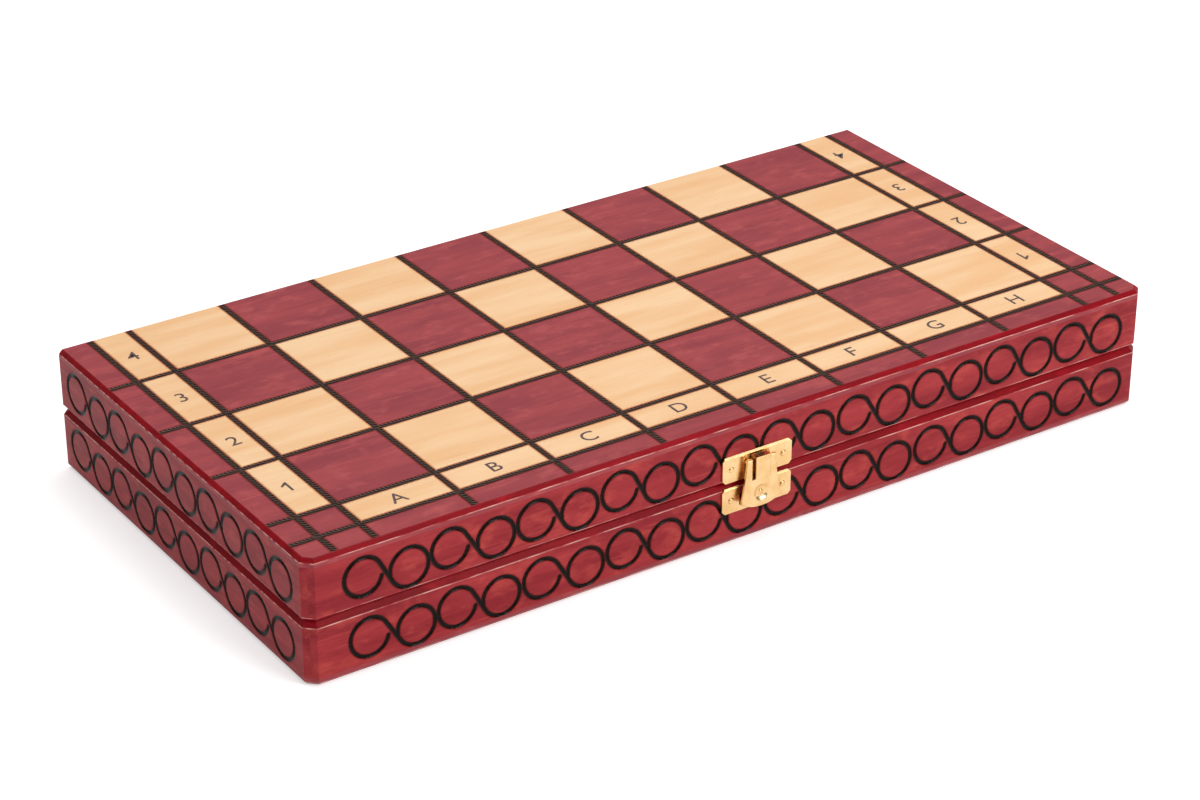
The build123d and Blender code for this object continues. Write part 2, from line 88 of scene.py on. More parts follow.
def node(tree, kind, sockets=(), **settings):
    """Add one shader node with its settings, and set or link its inputs by name or number."""
    made = tree.nodes.new(kind)
    for key, value in settings.items():
        setattr(made, key, value)
    for key, value in dict(sockets).items():
        if isinstance(value, bpy.types.NodeSocket):
            tree.links.new(value, made.inputs[key])
        else:
            made.inputs[key].default_value = value
    return made


def empty_material(name):
    """A new material with an empty tree and its output node."""
    material = bpy.data.materials.new(name)
    material.use_nodes = True
    material.node_tree.nodes.clear()
    return material, material.node_tree, node(material.node_tree, "ShaderNodeOutputMaterial")


def blended(tree, factor, low, high, kind="MIX"):
    """Colour between two others by a factor, each of them a socket or a value."""
    mixed = node(tree, "ShaderNodeMix", {0: factor, 6: low, 7: high}, data_type="RGBA", blend_type=kind)
    return mixed.outputs[2]


def ramped(tree, value, low, high, to_low=0.0, to_high=1.0):
    """A value moved from one range to another, held at both ends."""
    sockets = {0: value, 1: low, 2: high, 3: to_low, 4: to_high}
    return node(tree, "ShaderNodeMapRange", sockets, interpolation_type="SMOOTHSTEP").outputs[0]


def grain(tree, along, across, stretch, detail=4.0, rough=0.55, seed=0.0):
    """Noise drawn out along the wood: one size along the grain and one across it, in millimetres."""
    coordinates = node(tree, "ShaderNodeTexCoord").outputs["Object"]
    scale = [1000 / across] * 3
    scale[stretch] = 1000 / along
    mapped = node(tree, "ShaderNodeMapping", {0: coordinates, 1: (seed, seed, seed), 3: scale})
    sockets = {"Vector": mapped.outputs[0], "Scale": 1.0, "Detail": detail, "Roughness": rough}
    return node(tree, "ShaderNodeTexNoise", sockets).outputs[0]


def burnt(tree, clean):
    """Scorch and char drawn over clean wood, by the stored distance from the burnt line in mm, with painted
    glints on the crests of the rope beads.
    """
    distance = node(tree, "ShaderNodeAttribute", attribute_name="burn_distance").outputs["Fac"]
    ragged = grain(tree, 0.7, 0.7, 0, detail=2.0, seed=3.0)
    shift = node(tree, "ShaderNodeMath", {0: ragged, 1: 0.5, 2: -0.25}, operation="MULTIPLY_ADD").outputs[0]
    edge = node(tree, "ShaderNodeMath", {0: distance, 1: shift}, operation="ADD").outputs[0]
    scorch = ramped(tree, edge, 0.95, 2.1, 1.0, 0.0)
    char = ramped(tree, edge, 0.98, 1.22, 1.0, 0.0)
    scorched = blended(tree, scorch, clean, linear("#B5683A"), "MULTIPLY")
    turns = node(tree, "ShaderNodeAttribute", attribute_name="rope_turns").outputs["Fac"]
    angle = node(tree, "ShaderNodeMath", {0: turns, 1: 2 * math.pi}, operation="MULTIPLY").outputs[0]
    crest_glint = node(tree, "ShaderNodeMath", {0: angle}, operation="SINE").outputs[0]
    fleck = grain(tree, 0.9, 0.35, 0, detail=3.0, seed=7.0)
    char_colour = blended(tree, ramped(tree, fleck, 0.35, 0.7), linear("#0C0605"), linear("#20120E"))
    # Painted highlight: the crests of the rope beads are painted a lighter brown, as glints on the char.
    char_colour = blended(tree, ramped(tree, crest_glint, 0.25, 0.95, 0.0, 0.8), char_colour, linear("#76594C"))
    return blended(tree, char, scorched, char_colour), char


def wood_shader(tree, colour, char, output, stretch, gloss=0.42, char_gloss=0.3):
    """Varnished wood: open fine grain in the bump, and the smoother gloss of the burnt lines."""
    roughness = ramped(tree, char, 0.0, 1.0, gloss, char_gloss)
    fine = grain(tree, 9.0, 0.45, stretch, detail=3.0, seed=11.0)
    bump = node(tree, "ShaderNodeBump", {"Strength": 0.25, "Distance": 0.00005, "Height": fine})
    sockets = {"Base Color": colour, "Roughness": roughness, "Normal": bump.outputs[0],
               "Specular IOR Level": ramped(tree, char, 0.0, 1.0, 0.12, 0.05), "Coat Roughness": 0.1,
               "Coat Weight": ramped(tree, char, 0.0, 1.0, 0.0, 0.08)}
    shader = node(tree, "ShaderNodeBsdfPrincipled", sockets)
    tree.links.new(shader.outputs[0], output.inputs[0])


def stained(tree, stretch, deep, middle, bright, seed=0.0):
    """Burgundy water stain on close-grained wood: cloudy, with brighter hair streaks."""
    cloud = grain(tree, 42.0, 7.0, stretch, detail=3.0, seed=seed)
    streak = grain(tree, 30.0, 0.9, stretch, detail=5.0, rough=0.6, seed=seed + 2.0)
    pore = grain(tree, 3.2, 0.4, stretch, detail=3.0, seed=seed + 5.0)
    bloom = grain(tree, 9.0, 5.0, stretch, detail=3.0, seed=seed + 8.0)
    colour = blended(tree, ramped(tree, cloud, 0.3, 0.7), linear(deep), linear(middle))
    colour = blended(tree, ramped(tree, bloom, 0.5, 0.75, 0.0, 0.6), colour, linear(bright))
    colour = blended(tree, ramped(tree, streak, 0.56, 0.75, 0.0, 0.7), colour, linear(bright))
    return blended(tree, ramped(tree, pore, 0.5, 0.72, 0.0, 0.5), colour, linear(deep))


# Birch ply under thin satin varnish: the stain clouds on the dark squares, and the bare squares
# keep a creamy grain with a few amber flecks.
ply, tree, output = empty_material("varnished_birch_ply_part_stained_burgundy")
stain = stained(tree, 0, "#943F46", "#AA4A4E", "#C05B5B")
bare_cloud = grain(tree, 60.0, 9.0, 0, detail=2.0, seed=20.0)
bare_streak = grain(tree, 22.0, 0.8, 0, detail=4.0, seed=23.0)
bare = blended(tree, ramped(tree, bare_cloud, 0.3, 0.72), linear("#F6C390"), linear("#FDD5A8"))
bare = blended(tree, ramped(tree, bare_streak, 0.55, 0.8, 0.0, 0.35), bare, linear("#E6AC7C"))
bare_fleck = grain(tree, 4.0, 0.5, 0, detail=2.0, seed=27.0)
bare = blended(tree, ramped(tree, bare_fleck, 0.66, 0.78, 0.0, 0.5), bare, linear("#C98A52"))
pale = node(tree, "ShaderNodeAttribute", attribute_name="pale").outputs["Fac"]
clean = blended(tree, pale, stain, bare)
colour, char = burnt(tree, clean)
wood_shader(tree, colour, char, output, 0)

# The chamfers get their own deeper, cleaner red copy of the stain: painted shade for how those faces take
# the light, over the same stained wood as the faces.
chamfer_shade_red, tree, output = empty_material("chamfer_red_painted_shade")
colour = stained(tree, 0, "#7C0010", "#940414", "#B01020", seed=31.0)
wood_shader(tree, colour, 0.0, output, 0, gloss=0.3)

# A fine pale line is painted along the sharp arris: a painted highlight on its rounded edge, patchy along
# its length.
arris_highlight, tree, output = empty_material("stain_worn_thin_on_the_arris")
highlight_patches = grain(tree, 9.0, 2.0, 0, detail=4.0, seed=36.0)
colour = blended(tree, ramped(tree, highlight_patches, 0.35, 0.65), linear("#A8363C"), linear("#DDA79C"))
wood_shader(tree, colour, 0.0, output, 0, gloss=0.25)


def trough(distance):
    """How far a burnt line has sunk at a distance from its middle, from 0 to 1."""
    return np.clip(1 - (distance / burn_half_width) ** 2, 0, 1)


def line_height(across, along, lines, end_low, end_high):
    """Height, distance and turns of the rope for parallel burnt lines with slanted beads."""
    lines = np.array(lines)
    nearest = np.abs(across[:, None] - lines).argmin(1)
    offset = across - lines[nearest]
    past_end = np.maximum(np.maximum(end_low - along, along - end_high), 0)
    distance = np.hypot(offset, past_end)
    wobble = 0.35 * np.sin(along * 0.9 + nearest * 2.1)
    turns = (along + bead_slant * offset) / bead_pitch + wobble / (2 * np.pi)
    bead = 0.5 + 0.5 * np.sin(2 * np.pi * turns)
    return -burn_depth * trough(distance) * (1 - 0.75 * bead), distance, turns


def joined_patches(patches):
    """One list of points and faces out of separate grids."""
    points, faces, start = [], [], 0
    for patch_points, patch_faces in patches:
        points.append(patch_points)
        faces += (patch_faces + start).tolist() if isinstance(patch_faces, np.ndarray) else [
            [i + start for i in face] for face in patch_faces]
        start += len(patch_points)
    return np.concatenate(points), faces


def grid_faces(rows, columns):
    """Faces of a grid of points, row by row."""
    first = (np.arange(rows - 1)[:, None] * columns + np.arange(columns - 1)).ravel()
    return np.stack([first, first + columns, first + columns + 1, first + 1], 1)


def board_top(lower):
    """The flat playing face of a panel: plain cells, with fine strips where the lines are burnt."""
    left, right = -board_half_x + panel_chamfer + edge_round, board_half_x - panel_chamfer - edge_round
    front, rear = -board_half_y + panel_chamfer + edge_round, board_half_y
    cut = corner_cut - (panel_chamfer + edge_round) * (2 - math.sqrt(2))

    def spans(lines, low, high):
        """Stretches across the board: (low, high, is it a strip over a line)."""
        found, at = [], low
        for line in lines:
            found += [(at, line - burn_margin, False), (line - burn_margin, line + burn_margin, True)]
            at = line + burn_margin
        return found + [(at, high, False)]

    def steps(span, fine):
        """Places of the points over one stretch."""
        low, high, strip = span
        middle = (low + high) / 2
        if strip:
            return middle + (strip_knots if fine else crossing_knots)
        count = max(1, round((high - low) / (bead_pitch / 4))) if fine else 1
        return np.linspace(low, high, count + 1)

    patches = []
    for across in spans(upright_lines, left, right):
        for along in spans(level_lines, front, rear):
            if across[2] and along[2]:
                xs, ys = steps(across, False), steps(along, False)
            else:
                xs = steps(across, across[2] or along[2])
                ys = steps(along, across[2] or along[2])
            x, y = (g.ravel() for g in np.meshgrid(xs, ys, indexing="ij"))
            corner = not across[2] and not along[2] and along[0] == front
            clipped = None
            if corner and across[0] == left:
                clipped = [(left + cut, front), (xs[1], front), (xs[1], ys[1]), (left, ys[1]),
                           (left, front + cut)]
            if corner and across[1] == right:
                clipped = [(xs[0], front), (right - cut, front), (right, front + cut),
                           (right, ys[1]), (xs[0], ys[1])]
            if clipped:
                patches.append((np.c_[np.array(clipped), np.zeros(5)], [[0, 1, 2, 3, 4]]))
            else:
                patches.append((np.c_[x, y, np.zeros(len(x))], grid_faces(len(xs), len(ys))))
    points, faces = joined_patches(patches)
    x, y = points[:, 0], points[:, 1]
    end = board_half_x - line_end_gap
    upright, upright_distance, upright_turns = line_height(
        x, y, upright_lines, -board_half_y + line_end_gap, rear + burn_margin)
    level, level_distance, level_turns = line_height(y, x, level_lines, -end, end)
    points[:, 2] = closed_height - label_proud + np.minimum(upright, level)
    turns = np.where(upright_distance < level_distance, upright_turns, level_turns)
    distance = np.minimum(np.minimum(upright_distance, level_distance), burn_margin)
    middles = np.array([points[face].mean(0)[:2] for face in faces])
    file = np.floor((middles[:, 0] - grid_left) / square).astype(int)
    rank = np.floor((middles[:, 1] - grid_front) / square).astype(int)
    in_files = (file >= 0) & (file < files)
    in_labels = np.abs(middles[:, 0]) < -grid_left + label_strip
    on_squares = in_files & (rank >= 0)
    light_square = (file + rank + (1 if lower else 0)) % 2 == 1
    pale = np.where(on_squares, light_square, False)
    pale |= in_files & (middles[:, 1] < grid_front) & (middles[:, 1] > grid_front - label_strip)
    pale |= ~in_files & in_labels & (rank >= 0)
    return points, faces, distance, turns, pale.astype(float)


def outline_ring(inset, height):
    """Corners of a panel's plan, drawn in from its front and sides by an inset."""
    x, y = board_half_x - inset, board_half_y - inset
    shift = corner_cut - inset * (2 - math.sqrt(2))
    plan = [(-x, board_half_y), (-x, -y + shift), (-x + shift, -y), (x - shift, -y), (x, -y + shift),
            (x, board_half_y)]
    return [(a, b, height) for a, b in plan]


def as_object(name, points, faces, materials, lower=False):
    """An object in metres out of points in millimetres; the lower half is the upper one mirrored."""
    placed = np.array(points, float)
    if lower:
        placed[:, 2] = closed_height - placed[:, 2]
        faces = [list(face)[::-1] for face in faces]
    mesh = bpy.data.meshes.new(name)
    mesh.from_pydata((placed * MM).tolist(), [], [list(face) for face in faces])
    for material in materials:
        mesh.materials.append(material)
    made = bpy.data.objects.new(name, mesh)
    bpy.context.scene.collection.objects.link(made)
    return made


def store(made, name, values, domain):
    """Keep one number for each point or face of a mesh."""
    attribute = made.data.attributes.new(name, "FLOAT", domain)
    attribute.data.foreach_set("value", np.asarray(values, np.float32))


for half in ("upper", "lower"):
    lower = half == "lower"
    points, faces, distance, turns, pale_faces = board_top(lower)
    rings = [outline_ring(0, panel_inner), outline_ring(0, closed_height - panel_chamfer - edge_round),
             outline_ring(edge_round * 0.7, closed_height - panel_chamfer + edge_round * 0.7),
             outline_ring(panel_chamfer - edge_round * 0.7, closed_height - label_proud - edge_round * 0.7),
             outline_ring(panel_chamfer + edge_round, closed_height - label_proud)]
    shell, shell_faces, slots = [], [], []
    for ring in rings:
        shell += ring
    size = len(rings[0])
    for level in range(len(rings) - 1):
        for i in range(size):
            j = (i + 1) % size
            a, b = level * size, (level + 1) * size
            shell_faces.append([a + i, a + j, b + j, b + i])
            slots.append((0, 2, 1, 1)[level] if i != size - 1 else 0)
    shell_faces.append(list(range(size))[::-1])
    slots.append(0)
    all_points, all_faces = joined_patches([(points, faces), (np.array(shell), shell_faces)])
    # Slot 1 on the chamfer carries the painted-shade red, and slot 2 on the rounded arris carries the
    # painted highlight line.
    board = as_object(f"{half}_board", all_points, all_faces, [ply, chamfer_shade_red, arris_highlight], lower)
    store(board, "burn_distance", np.r_[distance, np.full(len(shell), burn_margin)], "POINT")
    store(board, "rope_turns", np.r_[turns, np.zeros(len(shell))], "POINT")
    store(board, "pale", np.r_[pale_faces, np.zeros(len(shell_faces))], "FACE")
    board.data.polygons.foreach_set("material_index", [0] * len(faces) + slots)
    board.data.polygons.foreach_set("use_smooth", [True] * len(faces) + [False] * len(shell_faces))
    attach(board, f"{half}_half")
    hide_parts(f"{half}_board_panel")

# Coordinates: plain letters and numbers branded thinly into the pale strips in dark brown.
# Letters face the player at their own end; the left numbers face one player, the right the other.
cap_height = 6.2
stroke_gain = 0.03
label_thickness = 0.025
letter_y = grid_front - label_strip / 2
number_x = -grid_left + label_strip / 2

# The brand scorches the wood a matt grey-brown that fades a little from place to place.
scorched_print, tree, output = empty_material("dark_brown_branding_in_wood")
fade = grain(tree, 1.2, 1.2, 0, detail=3.0, seed=41.0)
colour = blended(tree, ramped(tree, fade, 0.3, 0.75), linear("#4A3633"), linear("#6A5350"))
shader = node(tree, "ShaderNodeBsdfPrincipled", {"Base Color": colour, "Roughness": 0.5})
tree.links.new(shader.outputs[0], output.inputs[0])


def label_mesh(text, place, right, up, normal):
    """Points and faces of one character, centred on its place."""
    curve = bpy.data.curves.new("character", "FONT")
    curve.body = text
    curve.align_x, curve.align_y = "CENTER", "CENTER"
    curve.size = cap_height / 0.7
    curve.extrude = label_thickness / 2
    curve.offset = stroke_gain
    curve.resolution_u = 4
    carrier = bpy.data.objects.new("character", curve)
    mesh = bpy.data.meshes.new_from_object(carrier)
    points = np.array([v.co for v in mesh.vertices])
    faces = [list(p.vertices) for p in mesh.polygons]
    bpy.data.objects.remove(carrier)
    bpy.data.curves.remove(curve)
    bpy.data.meshes.remove(mesh)
    points[:, 0] -= (points[:, 0].max() + points[:, 0].min()) / 2
    points[:, 1] -= (points[:, 1].max() + points[:, 1].min()) / 2
    axes = np.array([right, up, normal], float)
    return points @ axes + np.array(place), faces


def numeral_one(place, right, up, normal):
    """The numeral 1 with its flag, which the plain typeface draws as a bare stroke."""
    stem, flag = cap_height * 0.14, cap_height * 0.3
    top = cap_height / 2
    outline = [(0, -top), (stem, -top), (stem, top), (stem * 0.3, top), (-flag, top - flag),
               (-flag, top - flag - stem), (0, top - stem * 2)]
    count = len(outline)
    points = [(x, y, z) for z in (-label_thickness / 2, label_thickness / 2) for x, y in outline]
    faces = [list(range(count))[::-1], list(range(count, 2 * count))]
    faces += [[i, (i + 1) % count, count + (i + 1) % count, count + i] for i in range(count)]
    return np.array(points) @ np.array([right, up, normal], float) + np.array(place), faces


label_level = label_proud - label_thickness
for half in ("upper", "lower"):
    if half == "upper":
        height, normal = closed_height - label_level, (0, 0, 1)
        to_player, to_other = ((1, 0, 0), (0, 1, 0)), ((-1, 0, 0), (0, -1, 0))
        own_end = to_player
    else:
        height, normal = label_level, (0, 0, -1)
        to_player, to_other = ((1, 0, 0), (0, -1, 0)), ((-1, 0, 0), (0, 1, 0))
        own_end = to_other
    characters = []
    for i, letter in enumerate("ABCDEFGH"):
        place = (grid_left + square * (i + 0.5), letter_y, height)
        characters.append(label_mesh(letter, place, *own_end, normal))
    for j in range(ranks):
        number = str(j + 1) if half == "upper" else str(2 * ranks - j)
        y = grid_front + square * (j + 0.5)
        for x, facing in ((-number_x, to_player), (number_x, to_other)):
            if number == "1":
                characters.append(numeral_one((x, y, height), *facing, normal))
            else:
                characters.append(label_mesh(number, (x, y, height), *facing, normal))
    points, faces = joined_patches(characters)
    labels = as_object(f"{half}_coordinates", points, faces, [scorched_print])
    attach(labels, f"{half}_half")

# Rails: 10 mm strips of beech stained a warmer red, mitred round each half and glued to the panel.
# Their shown faces carry a row of linked rings, drawn freehand with a hot wire, so no two are alike.
rail_width = 10.0
seam_gap_half = 0.1
seam_chamfer = 1.75
seam_level = closed_height / 2
face_step = 0.35
ring_pitch = {"front": 32.7, "left": 32.35, "right": 32.35}
first_ring_place = {"front": {"upper": 20.8, "lower": 22.8}, "left": {"upper": 12.5, "lower": 12.1},
                    "right": {"upper": 13.5, "lower": 14.0}}
ring_pair_gap = 16.9
first_ring_radius = 7.0
second_ring_radius = 7.1
first_ring_rise = {"upper": 34.9, "lower": 12.2}
ring_drop = 1.5
ring_end_angle = math.radians(-13)
ring_stop_angle = math.radians(188)
wire_half_width = 0.8
wire_depth = 0.5
draw_luck = np.random.default_rng(7)


def stained_rail(name, stretch, seed):
    """Beech rail under burgundy stain and varnish, with its grain along the rail."""
    material, tree, output = empty_material(name)
    clean = stained(tree, stretch, "#8C242C", "#AC383C", "#C44E46", seed=seed)
    colour, char = burnt(tree, clean)
    wood_shader(tree, colour, char, output, stretch, gloss=0.4, char_gloss=0.24)
    return material


# Beech takes the stain a warmer red than ply, with brighter hair streaks along the strip.
long_rail_wood = stained_rail("stained_beech_along_front", 0, 50.0)
side_rail_wood = stained_rail("stained_beech_along_side", 1, 60.0)
# The side rails' chamfers get the same painted shade: a deeper red copy of the stain for how those faces
# take the light.
side_chamfer_shade_red, tree, output = empty_material("side_chamfer_red_painted_shade")
colour = stained(tree, 1, "#7C0010", "#940414", "#B01020", seed=33.0)
wood_shader(tree, colour, 0.0, output, 1, gloss=0.3)


def linked_rings(start, rise):
    """Points along one drawn figure: round the first ring, down across, and round the second."""
    first = np.array([start, rise]) + draw_luck.uniform(-0.35, 0.35, 2)
    second = np.array([start + ring_pair_gap, rise - ring_drop]) + draw_luck.uniform(-0.25, 0.25, 2)
    r1 = first_ring_radius + draw_luck.uniform(-0.15, 0.15)
    r2 = second_ring_radius + draw_luck.uniform(-0.12, 0.05)
    line = second - first
    heading = math.atan2(line[1], line[0])
    lean = heading + math.acos((r1 + r2) / np.hypot(*line))
    out_turn = np.linspace(ring_end_angle, lean - 2 * math.pi, 90)
    in_turn = np.linspace(lean - math.pi, ring_stop_angle, 90)
    left_ring = first + r1 * np.c_[np.cos(out_turn), np.sin(out_turn)]
    right_ring = second + r2 * np.c_[np.cos(in_turn), np.sin(in_turn)]
    across = np.linspace(left_ring[-1], right_ring[0], 26)[1:-1]
    return np.concatenate([left_ring, across, right_ring])


def rail(name, half, side, reach, cut_low, cut_high, to_world, wood, chamfer_shade):
    """One mitred rail: a fine grid for the burnt face, and plain faces for the rest."""
    upper = half == "upper"
    seam = seam_level + seam_gap_half if upper else seam_level - seam_gap_half
    turn = seam + (seam_chamfer + edge_round) * (1 if upper else -1)
    glued = panel_inner if upper else closed_height - panel_inner
    low = -reach + (corner_cut if cut_low else 0)
    high = reach - (corner_cut if cut_high else 0)
    a = np.linspace(low, high, round((high - low) / face_step) + 1)
    z = np.linspace(min(turn, glued), max(turn, glued), round(abs(glued - turn) / face_step) + 1)
    grid_a, grid_z = (g.ravel() for g in np.meshgrid(a, z, indexing="ij"))
    distance = np.full(len(grid_a), burn_margin)
    pairs = int((2 * reach) // ring_pitch[side])
    for pair in range(pairs):
        start = -reach + first_ring_place[side][half] + pair * ring_pitch[side]
        path = linked_rings(start, first_ring_rise[half])
        near = np.flatnonzero((grid_a > path[:, 0].min() - 3) & (grid_a < path[:, 0].max() + 3))
        gap = np.hypot(grid_a[near, None] - path[None, :, 0], grid_z[near, None] - path[None, :, 1])
        distance[near] = np.minimum(distance[near], gap.min(1))
    shaky = 0.06 * np.sin(grid_a * 5.1 + grid_z * 3.7) + 0.05 * np.sin(grid_a * 2.3 - grid_z * 6.1)
    sunk = wire_depth * np.clip(1 - ((distance + shaky) / wire_half_width) ** 2, 0, 1)
    face = (np.c_[grid_a, sunk, grid_z], grid_faces(len(a), len(z)))

    def plan(inset):
        """The rail's plan at one level: out along its outer side and back along its inner one."""
        corners = []
        for end, cut in ((-1, cut_low), (1, cut_high)):
            if cut:
                meet = corner_cut / 2
                outer = [(end * (reach - corner_cut - inset * (math.sqrt(2) - 1)), inset),
                         (end * (reach - meet - inset / math.sqrt(2)), meet + inset / math.sqrt(2))]
            else:
                outer = [(end * (reach - inset), inset)]
            inner = [(end * (reach - rail_width), rail_width)]
            corners += (outer + inner)[::-1] if end < 0 else outer + inner
        return corners

    to_seam = 1 if seam > turn else -1
    soft = edge_round * 0.7
    levels = [(0, glued), (0, turn), (soft, turn + to_seam * (edge_round + soft)),
              (seam_chamfer, seam)]
    points = [(p, b, height) for inset, height in levels for p, b in plan(inset)]
    size = len(points) // len(levels)
    outer_start = 2 if cut_low else 1
    faces, slots = [], []
    for level in range(len(levels) - 1):
        for i in range(size):
            j = (i + 1) % size
            if level == 0 and i == outer_start:
                continue
            here, above = level * size, (level + 1) * size
            faces.append([here + i, here + j, above + j, above + i])
            outer_face = i in range(1, size - 2)
            slots.append((0, 2, 1)[level] if outer_face else 0)
    faces += [list(range(size)), list(range(len(points) - size, len(points)))[::-1]]
    slots += [0, 0]
    all_points, all_faces = joined_patches([face, (np.array(points), faces)])
    # Slot 1 on the seam chamfer carries the painted-shade red, and slot 2 on the rounded arris carries the
    # painted highlight line.
    made = as_object(name, to_world(all_points), all_faces, [wood, chamfer_shade, arris_highlight])
    widened = np.minimum(distance * burn_half_width / wire_half_width, burn_margin)
    store(made, "burn_distance", np.r_[widened, np.full(len(points), burn_margin)], "POINT")
    count = len(face[1])
    made.data.polygons.foreach_set("material_index", [0] * count + slots)
    made.data.polygons.foreach_set("use_smooth", [True] * count + [False] * len(faces))
    tidy = bmesh.new()
    tidy.from_mesh(made.data)
    bmesh.ops.recalc_face_normals(tidy, faces=[f for f in tidy.faces if not f.smooth])
    tidy.to_mesh(made.data)
    tidy.free()
    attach(made, f"{half}_half")
    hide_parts(f"{half}_{side}_rail")


def front_place(p):
    """Rail points (along, inwards, up) set along the front of the case."""
    return np.c_[p[:, 0], p[:, 1] - board_half_y, p[:, 2]]


def left_place(p):
    """Rail points set along the left side, from the rear to the front."""
    return np.c_[p[:, 1] - board_half_x, -p[:, 0], p[:, 2]]


def right_place(p):
    """Rail points set along the right side, from the front to the rear."""
    return np.c_[board_half_x - p[:, 1], p[:, 0], p[:, 2]]


for half in ("upper", "lower"):
    rail(f"{half}_front_moulding", half, "front", board_half_x, True, True, front_place,
         long_rail_wood, chamfer_shade_red)
    rail(f"{half}_left_moulding", half, "left", board_half_y, False, True, left_place,
         side_rail_wood, side_chamfer_shade_red)
    rail(f"{half}_right_moulding", half, "right", board_half_y, True, False, right_place,
         side_rail_wood, side_chamfer_shade_red)

plain_rail_wood, tree, output = empty_material("stained_beech_along_rear")
colour = stained(tree, 0, "#8C242C", "#AC383C", "#C44E46", seed=70.0)
wood_shader(tree, colour, 0.0, output, 0, gloss=0.4)


def dress(name, material):
    """Give a CAD node one material over all its faces."""
    mesh = frame["nodes"][name].data
    mesh.materials.clear()
    mesh.materials.append(material)


for half in ("upper", "lower"):
    dress(f"{half}_rear_rail", plain_rail_wood)

# Inserts: vacuum-formed trays with a pocket for each chessman, sprayed with short dark flock.
# Flock takes no gloss and lightens at grazing angles, so the shader has sheen and a fuzzy bump.
flock, tree, output = empty_material("dark_green_flock")
clump = grain(tree, 2.2, 2.2, 0, detail=4.0, seed=80.0)
fibre = grain(tree, 0.5, 0.5, 0, detail=2.0, seed=83.0)
colour = blended(tree, ramped(tree, clump, 0.3, 0.7), linear("#14301F"), linear("#1E4029"))
bump = node(tree, "ShaderNodeBump", {"Strength": 0.6, "Distance": 0.0002, "Height": fibre})
sockets = {"Base Color": colour, "Roughness": 0.95, "Sheen Weight": 0.5, "Sheen Roughness": 0.5,
           "Normal": bump.outputs[0], "Specular IOR Level": 0.1}
shader = node(tree, "ShaderNodeBsdfPrincipled", sockets)
tree.links.new(shader.outputs[0], output.inputs[0])
for half in ("upper", "lower"):
    dress(f"{half}_insert", flock)

# Chessmen: turned beech, one side bare under clear varnish, the other stained dark brown.
# They lie in their pockets; the grain runs along each piece and the varnish has a soft shine.
def turned_wood(name, deep, middle, streak_colour, seed):
    """Varnished turned beech with short flecks along the grain."""
    material, tree, output = empty_material(name)
    cloud = grain(tree, 30.0, 3.0, 1, detail=3.0, seed=seed)
    fleck = grain(tree, 3.5, 0.5, 1, detail=3.0, seed=seed + 3)
    colour = blended(tree, ramped(tree, cloud, 0.3, 0.7), linear(deep), linear(middle))
    colour = blended(tree, ramped(tree, fleck, 0.6, 0.8, 0.0, 0.5), colour, linear(streak_colour))
    wood_shader(tree, colour, 0.0, output, 1, gloss=0.35)
    return material


# Bare beech shows brown flecks under the varnish, and the dark stain nearly hides them.
light_wood = turned_wood("varnished_bare_beech", "#EFC489", "#F6D5A2", "#C98F55", 90.0)
dark_wood = turned_wood("dark_stained_beech", "#3A1E14", "#54301F", "#1F100B", 95.0)
for name in frame["nodes"]:
    if name.startswith("light_"):
        dress(name, light_wood)
    if name.startswith("dark_"):
        dress(name, dark_wood)

# Hinges: two brass-plated butt hinges let into the rear rails, on steel pins and steel screws.
# Rolled plate has softly broken edges, so each leaf is redrawn with its edges rounded a little.
def metal(name, colour_low, colour_high, roughness, scratch_axis, seed):
    """Bare or plated metal: fine one-way polishing marks and a little tarnish."""
    material, tree, output = empty_material(name)
    tarnish = grain(tree, 6.0, 6.0, 0, detail=3.0, seed=seed)
    polish = grain(tree, 4.0, 0.12, scratch_axis, detail=2.0, seed=seed + 1)
    colour = blended(tree, ramped(tree, tarnish, 0.3, 0.7), linear(colour_low), linear(colour_high))
    shine = ramped(tree, polish, 0.2, 0.8, roughness * 0.8, roughness * 1.25)
    bump = node(tree, "ShaderNodeBump", {"Strength": 0.12, "Distance": 0.00002, "Height": polish})
    sockets = {"Base Color": colour, "Metallic": 1.0, "Roughness": shine, "Normal": bump.outputs[0]}
    shader = node(tree, "ShaderNodeBsdfPrincipled", sockets)
    tree.links.new(shader.outputs[0], output.inputs[0])
    return material


def softened(name, width, material):
    """A copy of a CAD node with its edges broken, which then stands for the node."""
    made = bpy.data.objects.new(f"{name}_finished", frame["nodes"][name].data.copy())
    bpy.context.scene.collection.objects.link(made)
    made.data.materials.clear()
    made.data.materials.append(material)
    if made.data.has_custom_normals:
        bpy.context.view_layer.objects.active = made
        made.data.attributes.remove(made.data.attributes["custom_normal"])
    clean = bmesh.new()
    clean.from_mesh(made.data)
    bmesh.ops.remove_doubles(clean, verts=clean.verts, dist=1e-6)
    bmesh.ops.dissolve_limit(clean, angle_limit=math.radians(4), verts=clean.verts, edges=clean.edges)
    clean.to_mesh(made.data)
    clean.free()
    bevel = made.modifiers.new("broken_edges", "BEVEL")
    bevel.width = width * MM
    bevel.segments = 2
    bevel.limit_method = "ANGLE"
    bevel.angle_limit = math.radians(35)
    bevel.use_clamp_overlap = True
    made.data.polygons.foreach_set("use_smooth", [True] * len(made.data.polygons))
    weighted = made.modifiers.new("even_faces", "WEIGHTED_NORMAL")
    weighted.keep_sharp = True
    body = next(b for b, names in frame["record"]["behaviour"]["bodies"].items() if name in names)
    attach(made, body)
    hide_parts(name)
    return made


# Brass plate on steel is duller and browner than the latch's bright brass, and zinc is pale grey.
brass_plate = metal("brass_plated_steel", "#C9A052", "#DDB869", 0.28, 0, 100.0)
zinc_steel = metal("zinc_plated_steel", "#A9A9A6", "#C2C2BE", 0.3, 0, 105.0)
for side in ("left", "right"):
    for leaf in ("lower", "upper"):
        softened(f"{side}_hinge_{leaf}_leaf", 0.12, brass_plate)
    dress(f"{side}_hinge_pin", zinc_steel)
for half in ("upper", "lower"):
    dress(f"{half}_hinge_screws", zinc_steel)

